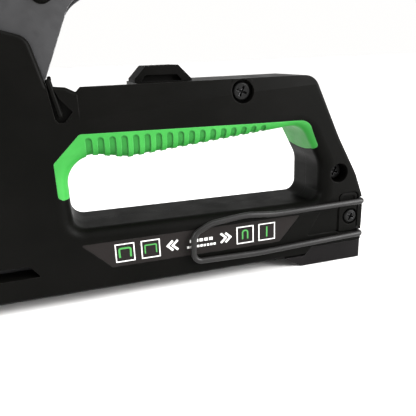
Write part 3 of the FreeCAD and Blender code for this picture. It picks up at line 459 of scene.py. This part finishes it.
def label_marks(panel_name, side):
    """Four framed staple signs, two pairs of chevrons and two rows of plain bars."""
    low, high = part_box(panel_name)
    face = low.y if side < 0 else high.y
    start = low.x if side < 0 else high.x
    along = 1 if side < 0 else -1

    def to_world(u, v, height):
        return Vector((start + along * u * MM, face + side * height, low.z + v * MM))

    white = bmesh.new()
    green = bmesh.new()
    middle = FRAME_LOW + FRAME_SIZE / 2
    for x in FRAME_STARTS:
        top = FRAME_LOW + FRAME_SIZE
        square = ((x, FRAME_LOW), (x + FRAME_SIZE, FRAME_LOW), (x + FRAME_SIZE, top), (x, top))
        add_stroke(white, square, FRAME_LINE, to_world, closed=True)
    for x, turn in ((CHEVRONS_BACK, -1), (CHEVRONS_AHEAD, 1)):
        for k in (0, 1):
            tip = x + turn * k * CHEVRON_STEP
            tail = tip - turn * CHEVRON_SIZE[0]
            half = CHEVRON_SIZE[1] / 2
            add_stroke(white, ((tail, middle + half), (tip, middle), (tail, middle - half)),
                       CHEVRON_LINE, to_world)
    for v, tall, wide, gap, count in BAR_ROWS:
        first = BARS_MIDDLE - (count * wide + (count - 1) * gap) / 2
        for k in range(count):
            u = first + k * (wide + gap)
            level = v + tall / 2
            add_stroke(white, ((u, level), (u + wide, level)), BAR_FILL * tall, to_world)
    for x, (corners, turn, width) in zip(FRAME_STARTS, SIGNS):
        centre = Vector((x + FRAME_SIZE / 2, middle))
        line = [centre + p for p in rounded(corners, turn)]
        add_stroke(green, line, width, to_world)
    end = "left" if side < 0 else "right"
    finish_piece("label_print_white_" + end, white, WHITE_INK, "housing")
    finish_piece("label_print_green_" + end, green, GREEN_INK, "housing")


# Marks round the force knob, in mm from its axis.
SCALE_OUTSIDE = 1.9        # gap between the knob's rim and the scale
SCALE_SPREAD = math.radians(50)
SCALE_STEPS = 14
SCALE_WIDTHS = (0.25, 1.15)
POINTER_REACH = (4.2, 8.0)
POINTER_WIDTH = 0.9
KNOB_LIFT = 0.3            # gap between the column's top and the knob
INK_SUNK = 0.02            # how far the pointer's underside is in the knob


def knob_marks():
    """An arc that widens as the force grows, beside the knob, and a pointer on the knob."""
    low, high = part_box("power_knob")
    centre = (low + high) / 2
    marks = bmesh.new()

    def on_deck(u, v, height):
        return Vector((centre.x + u * MM, centre.y + v * MM, low.z - KNOB_LIFT * MM + height))

    radius = (high.x - low.x) / 2 / MM + SCALE_OUTSIDE
    thin, thick = SCALE_WIDTHS
    for k in range(SCALE_STEPS):
        turns = [(k + j) / SCALE_STEPS for j in (0, 1)]
        angles = [-math.pi / 2 - SCALE_SPREAD + 2 * SCALE_SPREAD * turn for turn in turns]
        line = [(radius * math.cos(a), radius * math.sin(a)) for a in angles]
        add_stroke(marks, line, thin + (thick - thin) * (k + 0.5) / SCALE_STEPS, on_deck)
    finish_piece("force_scale", marks, WHITE_INK, "housing")

    pointer = bmesh.new()

    def on_knob(u, v, height):
        return Vector((centre.x + u * MM, centre.y + v * MM, high.z + height - INK_SUNK * MM))

    near, far = POINTER_REACH
    add_stroke(pointer, ((0.0, -near), (0.0, -far)), POINTER_WIDTH, on_knob)
    finish_piece("knob_pointer", pointer, WHITE_INK, "knob")


# ---------------------------------------------------------------- studio

FLOOR_HALF = 6.0
FLOOR_GRID = 12


def make_floor():
    """Wide pale table top."""
    mesh = bmesh.new()
    bmesh.ops.create_grid(mesh, x_segments=FLOOR_GRID, y_segments=FLOOR_GRID, size=FLOOR_HALF)
    data = bpy.data.meshes.new("floor")
    mesh.to_mesh(data)
    mesh.free()
    finish = Finish("floor_paper", IOR=1.3, Specular_IOR_Level=0.2)
    fibre = finish.noise(PAPER_SCALE, 3.0)
    tone = finish.mixed(finish.ranged(fibre, 0.3, 0.7, 0.0, 1.0), rgb(0.70, 0.694, 0.686),
                        rgb(0.72, 0.714, 0.706))
    roughness = finish.ranged(fibre, 0.3, 0.7, 0.6, 0.7)
    data.materials.append(finish.put(Base_Color=tone, Roughness=roughness))
    floor = bpy.data.objects.new("floor", data)
    bpy.context.scene.collection.objects.link(floor)


def add_softbox(name, place, aim, size, power):
    data = bpy.data.lights.new(name, "AREA")
    data.shape = "RECTANGLE"
    data.size = size[0]
    data.size_y = size[1]
    data.energy = power
    lamp = bpy.data.objects.new(name, data)
    lamp.location = place
    lamp.rotation_euler = (Vector(aim) - Vector(place)).to_track_quat("-Z", "Y").to_euler()
    bpy.context.scene.collection.objects.link(lamp)


WORLD_TINT = (1.0, 0.995, 0.985, 1.0)
WORLD_BAND = 1.0
WORLD_OVERHEAD = 0.15
BAND_EDGES = (0.32, 0.55)


def make_world():
    """Pale band all round just above the table, and a dim ceiling."""
    world = bpy.data.worlds.new("studio")
    bpy.context.scene.world = world
    world.use_nodes = True
    nodes = world.node_tree.nodes
    links = world.node_tree.links
    place = nodes.new("ShaderNodeTexCoord").outputs["Generated"]
    split = nodes.new("ShaderNodeSeparateXYZ")
    links.new(place, split.inputs[0])
    fade = nodes.new("ShaderNodeMapRange")
    fade.interpolation_type = "SMOOTHSTEP"
    links.new(split.outputs["Z"], fade.inputs["Value"])
    limits = (("From Min", BAND_EDGES[0]), ("From Max", BAND_EDGES[1]),
              ("To Min", WORLD_BAND), ("To Max", WORLD_OVERHEAD))
    for key, number in limits:
        fade.inputs[key].default_value = number
    background = nodes["Background"]
    background.inputs["Color"].default_value = WORLD_TINT
    links.new(fade.outputs[0], background.inputs["Strength"])


def add_sun(name, direction, strength, spread):
    data = bpy.data.lights.new(name, "SUN")
    data.energy = strength
    data.angle = math.radians(spread)
    lamp = bpy.data.objects.new(name, data)
    lamp.rotation_euler = Vector(direction).to_track_quat("-Z", "Y").to_euler()
    bpy.context.scene.collection.objects.link(lamp)


# Wide overhead light: direction, strength and angle.
CEILING = ((-0.10, 0.14, -1.0), 4.2, 80.0)

# Softboxes: name, place, aim, size and power.
SOFTBOXES = (
    ("right_box", (0.56, -0.34, 0.26), (0.16, -0.02, 0.04), (0.35, 0.45), 9.0),
    ("left_box", (-0.60, 0.05, 0.30), (0.16, 0.0, 0.05), (0.4, 0.5), 12.0),
)


def make_studio():
    make_floor()
    make_world()
    add_sun("ceiling", *CEILING)
    for softbox in SOFTBOXES:
        add_softbox(*softbox)


bpy.context.scene.view_settings.view_transform = "Standard"
finish_nodes()
add_spring()
label_marks("label_panel_left", -1)
label_marks("label_panel_right", 1)
knob_marks()
make_studio()
make_camera()
